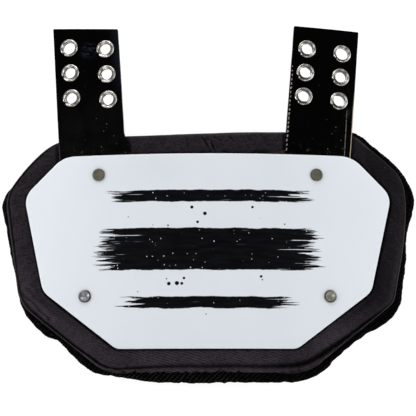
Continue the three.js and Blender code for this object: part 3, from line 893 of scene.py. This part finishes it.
def back_pad_cover(material):
    """The mesh-faced pad: rings drawn in from its outline round a full edge, hollow underneath with the
    wrap, its underside filled out by the cloth simulation, and pressed flat where it lies. The fine skin's
    edge wanders a little and carries the knit's ribs, a sine across them."""
    columns, fine = 280, 6
    edge, girth = outline(BACK_PAD_OUTLINE, columns)
    edge *= 1 - 0.4 / np.linalg.norm(edge, axis=1, keepdims=True)
    size = np.linalg.norm(edge, axis=1)
    border = spline(BACK_PAD_BORDER, 2)
    over = np.array((0.03, 0.3, 0.6, 0.78))
    under = np.array((0.8, 0.74, 0.67, 0.6, 0.52, 0.44, 0.36, 0.28, 0.2, 0.12, 0.04))
    first, last = len(over), len(over) + len(border)
    share = np.concatenate((over, np.ones(len(border)), under))
    inset = np.concatenate((0 * over, border[:, 0], 0 * under))
    lift = np.concatenate((0 * over + BACK_PAD_FACE, border[:, 1], 0 * under + BACK_PAD_BASE))
    plan = edge[None] * (share[:, None, None] - inset[:, None, None] / size[:, None])
    held = np.repeat((lift > -9.7)[:, None], columns, 1)
    rings = wrapped(plan[..., 0], plan[..., 1], lift[:, None])
    rings = puffed(rings, held, pressure=2, slack=0.025, cap=1.6)

    rim = refined(rings[first:last], 2, fine)
    lift = unwrapped(rim)[2]
    at = np.linspace(0, girth, columns * fine, endpoint=False)
    near = hump(lift, -13.5, 4)
    ripple = 0.16 * drift(at, 0, 9, 41) + 0.25 * drift(at, 0, 34, 42)
    rib = np.sin(knit_run(*np.moveaxis(lay(rim) / MM, -1, 0)) * 2 * np.pi / KNIT_PITCH)
    rim = raised(rim, near * (ripple + 0.1 * rib))
    hidden = refined(np.concatenate((rings[:first], rings[last:])), 1, fine)
    points, faces = closed_skin(np.concatenate((hidden[:first], rim, hidden[first:])))
    points[:, 2] += np.maximum(-points @ TURN[2], 0) / TILT_COS
    made = piece("back_pad_cover", points, faces, material, "back_mesh", "back_pad")
    return made


def strap_holes(strap):
    """The middles of a strap's six eyelet holes as (across, along): two columns, span apart, of rows pitch
    apart, each row lower or higher with across by the row slope."""
    column = strap["aside"] + strap["span"] * np.array((-0.5, 0.5))
    across, row = np.meshgrid(column, np.arange(EYELET_ROWS), indexing="ij")
    along = EYELET_FIRST + row * strap["pitch"] - strap["row_slope"] * across
    return np.stack((across, along), -1).reshape(-1, 2)


def strap_band(side, material):
    """A strap: a sheet of (across, along) points on its surface, with a faint dished and wavy face. Faces in
    a hole are dropped and the points round it pushed out onto its circle; Solidify gives the thickness."""
    strap = STRAPS[side]
    across = np.linspace(-STRAP_WIDTH / 2, STRAP_WIDTH / 2, 59)
    steps = np.linspace(0, 1, 150)[:, None]
    tip = STRAP_REACH - strap["tip_slope"] * across
    along = -STRAP_TUCK + (tip + STRAP_TUCK) * steps
    across = across + 0 * along
    square, end = STRAP_WIDTH / 2 - STRAP_CORNER, tip - STRAP_CORNER
    dx, dy = np.abs(across) - square, along - end
    reach = np.hypot(dx, dy)
    cut = (dx > 0) & (dy > 0) & (reach > STRAP_CORNER)
    pull = np.where(cut, STRAP_CORNER / np.maximum(reach, 1e-6), 1)
    across = np.where(cut, np.sign(across) * (square + dx * pull), across)
    along = np.where(cut, end + dy * pull, along)
    across = across + splayed(strap, across, along)

    columns = across.shape[1]
    faces = grid_faces(len(steps), columns, round_columns=False)
    flat = np.stack((across, along), -1).reshape(-1, 2)
    keep = np.ones(len(faces), bool)
    for centre in strap_holes(strap):
        inside = np.linalg.norm(flat[faces].mean(1) - centre, axis=1) < EYELET_HOLE
        rim = np.intersect1d(faces[inside], faces[~inside])
        way = flat[rim] - centre
        flat[rim] = centre + way * EYELET_HOLE / np.linalg.norm(way, axis=1, keepdims=True)
        keep &= ~inside
    faces = faces[keep]
    used, packed = np.unique(faces, return_inverse=True)
    flat, faces = flat[used], packed.reshape(-1, 4)[:, ::-1]
    across, along = flat.T
    rise = ease(along, 4, 30) * (0.16 * drift(across, along, 38, 51) + 0.05 * drift(across, along, 13, 52))
    points = on_strap(strap, along, across, rise)
    made = piece(f"strap_{side}_band", points, faces.tolist(), material, "strap", f"strap_{side}", flat)
    wall = made.modifiers.new("thickness", "SOLIDIFY")
    wall.thickness, wall.offset = STRAP_THICKNESS * MM, -1
    soft = made.modifiers.new("edges", "BEVEL")
    soft.width, soft.segments = 0.6 * MM, 3
    soft.limit_method, soft.angle_limit = "ANGLE", math.radians(50)
    return made


def strap_seat(strap, along, across):
    """A place on a strap's face and the direction square to it, from points 3 mm to each side."""
    step = 3 * np.array(((0, 0, 0, 1, -1), (0, 1, -1, 0, 0)))
    seat, right, left, ahead, behind = on_strap(strap, along + step[0], across + step[1])
    out = np.cross(right - left, ahead - behind)
    return seat, out / np.linalg.norm(out)


def ring_chart(rows, sides, radius):
    """The map of a turned piece: millimetres round it and rows along its profile."""
    turn = radius * bearings(sides)
    return np.stack(np.broadcast_arrays(turn[None, :], np.arange(rows)[:, None]), -1).reshape(-1, 2)


# An eyelet's painted shade, by strap: the radius where it lies, how much is all round, then the bearing,
# spread and amount of each darker stretch. Then where a beige reflection is painted on its flange, and which
# eyelet is worn wide.
EYELET_SHADE = {
    "left": (5.5, 0.2, (52, 40, 0.8), (0, 34, 0.2)),
    "right": (6.2, 0.4, (-95, 55, 0.6), (90, 45, 0.25)),
}
EYELET_BEIGE = {"left": (172, 40, 0.8), "right": (150, 70, 0.45)}   # bearing, spread and amount
EYELET_WORN = {"left": 3, "right": 6}


def eyelets(side, material):
    """Each eyelet: a closed profile turned about the hole, with a rolled flange, a step, a rolled lip down
    into a flared bore and a washer behind. Its flange is a little out of true and split once where it was
    set, with a painted glint beside the split; painted shade lies in the step, the split, the bore and round
    the flange's outer edge, with a painted shadow beside the split, and a beige reflection is painted on one
    side of the flange."""
    strap = STRAPS[side]
    back = -STRAP_THICKNESS - FIT_GAP
    barrel = EYELET_BARREL + 0.2
    profile = spline((
        (5.7, back - 0.4), (5.9, back - 0.7), (6.5, back - 0.75), (7.5, back - 0.65),
        (EYELET_FLANGE, back - 0.35), (7.5, back), (6.4, back), (barrel, back + 0.4), (barrel, -0.3),
        (6.2, 0.25), (7.6, 0.2), (EYELET_FLANGE, 0.55), (7.75, 1.1), (7.35, 1.45), (6.95, 1.45), (6.65, 1.1),
        (6.35, 0.65), (6.0, 0.5), (5.6, 0.65), (5.1, 0.75), (4.7, 0.65), (EYELET_LIP, 0.35), (4.7, -0.4),
        (5.15, -1.6), (5.3, -2.4), (5.7, back - 0.4)), 4)[:-1]
    sides = 72
    angle = bearings(sides)
    radius, height = profile[:, 0, None], profile[:, 1, None]
    crown = ease(height, 0.4, 1.0)
    shade_radius, all_round, *stretches = EYELET_SHADE[side]
    # Painted shade by bearing: darker stretches where shade falls in the step.
    painted_shade = all_round + sum(amount * near_bearing(angle, *stretch) for *stretch, amount in stretches)
    step = hump(radius, shade_radius, 0.75) * ease(height, 0, 0.4) * painted_shade
    # Painted shade round the flange's outer edge.
    rim = 0.5 * ease(radius, 7.5, 7.85) * ease(height, 0.2, 0.4)
    # Painted shade down in the bore.
    bore = ease(height, 0.4, 0.0) * ease(radius, 6, 5.6)
    # Painted beige reflection on one side of the flange.
    *reflection_side, amount = EYELET_BEIGE[side]
    beige = amount * near_bearing(angle, *reflection_side) * ease(radius, 6.3, 6.8) * crown
    faces = grid_faces(len(profile), sides, round_rows=True).tolist()
    chart = ring_chart(len(profile), sides, 6.3)
    for number, (across, along) in enumerate(strap_holes(strap), 1):
        rng = np.random.default_rng(70 + number + 10 * len(side))
        bearing = rng.normal(-143, 6)
        split = near_bearing(angle, bearing, 8) * ease(radius, 5.9, 6.6)
        shadow = near_bearing(angle, bearing + 8, 22) * ease(radius, 6.3, 5.8) * ease(height, 0, 0.3)
        # Painted glint beside the split.
        shine = near_bearing(angle, bearing - 21, 9) * ease(radius, 6.4, 7.0) * crown
        worn = profile.copy()
        if number == EYELET_WORN[side]:
            inner = worn[:, 0] < 6
            worn[inner, 0] = np.interp(worn[inner, 0], (EYELET_LIP, 6), (EYELET_BARREL, 6))
        ring = turned(worn, sides)
        tip, bend = rng.uniform(0, 6.28, 2)
        ring[..., 2] *= 1 + crown * (0.05 * np.cos(angle - tip) + 0.03 * np.cos(3 * angle + bend))
        ring[..., 2] -= 0.9 * split * crown
        ring[..., :2] *= 1 - 0.12 * split[..., None]
        points = stand(ring.reshape(-1, 3), *strap_seat(strap, along, across))
        # Painted shade in the step, rim, bore, split and its shadow, cleared under the glint.
        soil = np.clip(step + rim + 0.8 * bore + 0.95 * split + 0.7 * shadow, 0, 1) * (1 - shine)
        node = f"eyelet_{side}_{number}"
        piece(f"{node}_ring", points, faces, material, "eyelet", node, chart,
              soil=soil, rim=beige, shine=shine)


# A rivet's two tones, painted reflection that makes the upper two darker and warmer; how much painted shade
# and how much painted beige reflection its rim has, the bearing where its rim is lit and the shade lifts,
# and the bearing and distance out of each painted glint on its face.
RIVET_LOOK = {
    "upper_left": dict(tones=((124, 116, 98), (104, 101, 94)), painted_shade=0.5, beige=0.0, lit_bearing=-95, glint_spots=()),
    "upper_right": dict(tones=((112, 112, 99), (100, 99, 85)), painted_shade=0.5, beige=0.0, lit_bearing=-8, glint_spots=()),
    "lower_left": dict(tones=((176, 182, 192), (94, 101, 114)), painted_shade=0.9, beige=0.5, lit_bearing=130,
                       glint_spots=((12, 3.4), (-142, 2.7))),
    "lower_right": dict(tones=((164, 168, 154), (116, 122, 110)), painted_shade=0.9, beige=0.85, lit_bearing=40,
                        glint_spots=((14, 2.3),)),
}


def rivets():
    """Each rivet: a turned profile on the wrap's radius, a head with a bevelled rim round a faintly dished
    face, a shank, and a flat foot under the pad. Painted shade lies round the head's edge, inside it a beige
    reflection is painted on the rim, and the face has painted glints."""
    low = RIVET_GRIP - RIVET_FOOT_HEIGHT
    head = spline((
        (RIVET_SHANK, 0.35), (4.4, 0.3), (5.3, 0.3), (RIVET_HEAD, 0.5), (5.48, 0.85), (5.25, 1.15),
        (4.8, 1.5), (4.5, 1.66), (4.1, 1.66), (3.6, 1.58), (2.0, 1.52), (0.15, 1.5)), 4)
    edge = 0.3
    foot = np.array((
        (0.15, low), (3.0, low), (RIVET_FOOT - edge, low), (RIVET_FOOT, low + edge),
        (RIVET_FOOT, RIVET_GRIP - edge), (RIVET_FOOT - edge, RIVET_GRIP), (RIVET_SHANK, RIVET_GRIP),
        (RIVET_SHANK, RIVET_GRIP / 2)))
    profile = np.vstack((foot, head))
    sides = 64
    angle = bearings(sides)
    radius, height = profile[:, 0, None], profile[:, 1, None]
    upper = ease(height, 0.3, 0.4)
    ring = turned(profile, sides)
    points, faces = closed_skin(ring, flip=True)
    chart = np.vstack((ring_chart(len(profile), sides, 4), ((0, 0), (0, len(profile)))))
    for name, (x, y) in RIVETS.items():
        look = RIVET_LOOK[name]
        # Painted shade round the head's edge, lifted at its lit bearing.
        unshaded = 1 - 0.8 * near_bearing(angle, look["lit_bearing"], 36)
        soil = look["painted_shade"] * ease(radius, 4.15, 4.6) * upper * unshaded
        # Painted beige reflection on the bevel.
        rim = look["beige"] * hump(radius, 4.0, 0.4) * upper * np.ones(sides)
        # Painted glints on the face.
        shine = 0 * rim
        for bearing, reach in look["glint_spots"]:
            turn = math.radians(bearing)
            spot = reach * np.array((math.cos(turn), math.sin(turn)))
            away = np.linalg.norm(ring[..., :2] - spot, axis=-1)
            shine = np.maximum(shine, hump(away, 0, 0.95) * upper)
        # Each rivet's two tones are painted reflection: the same nickel, toned darker and warmer on the
        # upper two.
        light, dark = (tone(*values) for values in look["tones"])
        material = nickel(f"rivet_nickel_{name}", light, dark, 0.3, 0.35)
        seat = wrapped(x, y, PLATE_THICKNESS)
        out = seat - np.array((0, y, CROWN_HEIGHT - WRAP_RADIUS))
        stood = stand(points, seat, out / np.linalg.norm(out))
        piece(f"rivet_{name}_head", stood, faces, material, "rivet", f"rivet_{name}", chart,
              soil=with_poles(soil), rim=with_poles(rim), shine=with_poles(shine))


STITCH_FIRST, STITCH_END, STITCH_PITCH = 1.2, 80, 3.95   # from the plate's edge


def strap_stitches(material):
    """The right strap's sewn edge: each stitch is a flattened capsule, rings of 8 at stations t along it,
    whose radius goes as the root of 1 - t^4, laid end to end with a little slant and unevenness."""
    rng = np.random.default_rng(17)
    along = np.arange(STITCH_FIRST, STITCH_END, STITCH_PITCH)
    fine = ease(along, 60, 76)
    length = (2.5 - 0.7 * fine) * rng.uniform(0.85, 1.12, len(along))
    width = (0.58 - 0.22 * fine) * rng.uniform(0.85, 1.12, len(along))
    across = -STRAP_WIDTH / 2 + 1.5 + rng.normal(0, 0.12, len(along))
    slant = rng.normal(0.1, 0.05, len(along))
    station = np.linspace(-0.98, 0.98, 7)
    belly = (1 - station ** 4) ** 0.5
    turn = bearings(8)
    run = station[None, :, None] * length[:, None, None] / 2 + 0 * turn
    side = np.cos(turn) * belly[None, :, None] * width[:, None, None]
    rise = np.sin(turn) * belly[None, :, None] * width[:, None, None] * 0.8 + 0.1
    side = side + slant[:, None, None] * run
    stitches = on_strap(STRAPS["right"], along[:, None, None] + run, across[:, None, None] + side, rise)
    points, faces, start = [], [], 0
    for rings in stitches:
        skin, sides = closed_skin(rings, flip=True, start=start)
        points.append(skin)
        faces += sides
        start += len(skin)
    piece("strap_right_stitches", np.vstack(points), faces, material, "strap")


plate_shell(plate_plastic())
front_pad_cover(pad_fabric())
back_pad_cover(pad_mesh())
eyelet_nickel = nickel("eyelet_nickel", tone(232, 231, 228), tone(176, 172, 166), 0.12, 0.88)
for side in STRAPS:
    strap_band(side, strap_patent(side))
    eyelets(side, eyelet_nickel)
strap_stitches(stitch_thread())
rivets()

# Floor, light and camera

FLOOR_REACH = 8.0
FLOOR_LEVEL = -0.0001   # a little low, so that the pressed pad and the floor share no plane


def studio_floor():
    """A pale floor that shines a little itself, so that shadows stay faint."""
    square = FLOOR_REACH * np.array(((-1, -1), (1, -1), (1, 1), (-1, 1)))
    made = mesh_object("studio_floor", np.insert(square, 2, FLOOR_LEVEL, axis=1), [(0, 1, 2, 3)])
    finish = Finish("floor_white", Roughness=1.0, Specular_IOR_Level=0.0, Base_Color=(0.35, 0.35, 0.35, 1),
                    Emission_Color=(1, 1, 1, 1), Emission_Strength=0.84)
    made.data.materials.append(finish.owner)


def studio_sky():
    """Soft light from all round: bright near the horizon, dark overhead, so that gloss stays black."""
    scene.world = bpy.data.worlds.new("studio_sky")
    sky = Graph(scene.world, "Background", {"Color": (0.97, 0.985, 1.0, 1)})
    rise = sky.parts(sky.node("ShaderNodeTexCoord", None, None, "Generated"), 1.0)[2]
    sky.wear(Strength=0.85 - rise.ease(0.2, 0.72) * 0.83)


LIGHT_AIM = (0, 0, 0.03)
# Each light's place, size and power.
LIGHTS = {
    "key_top": ((-0.4, 1.8, 1.05), 1.4, 27),
    "fill_left": ((-1.8, -0.2, 1.0), 1.4, 18),
    "fill_right": ((1.8, 0.1, 1.0), 1.4, 19),
    "fill_front": ((0.2, -1.7, 0.9), 1.2, 9),
}


def soft_light(name, place, size, power):
    """A square soft light that faces the middle of the part."""
    lamp = bpy.data.lights.new(name, "AREA")
    lamp.shape, lamp.size, lamp.energy = "SQUARE", size, power
    made = placed(name, lamp)
    made.location = place
    made.rotation_euler = (Vector(LIGHT_AIM) - Vector(place)).to_track_quat("-Z", "Y").to_euler()


CAMERA_AIM = (0.346, 0.0, 35.0)   # in the plate's frame
CAMERA_FAR = 1400.0
CAMERA_RISE = math.radians(82)
CAMERA_LENS = 139.93


def studio_camera():
    """A long lens over the plate: it looks at the aim from far, rise degrees above the plate's own plane."""
    sight = np.array((0, math.cos(CAMERA_RISE), -math.sin(CAMERA_RISE)))
    up = np.array((0, math.sin(CAMERA_RISE), math.cos(CAMERA_RISE)))
    eye = lay(np.array(CAMERA_AIM) - CAMERA_FAR * sight)
    camera = bpy.data.cameras.new("studio_camera")
    camera.lens, camera.sensor_width = CAMERA_LENS, 36.0
    camera.clip_end = 60.0
    scene.camera = placed("studio_camera", camera)
    turn = np.stack(((1, 0, 0), TURN @ up, -(TURN @ sight)), -1)
    scene.camera.matrix_world = Matrix.Translation(Vector(eye)) @ Matrix(turn.tolist()).to_4x4()


studio_floor()
studio_sky()
for name, light in LIGHTS.items():
    soft_light(name, *light)
studio_camera()
scene.view_settings.view_transform = "Standard"
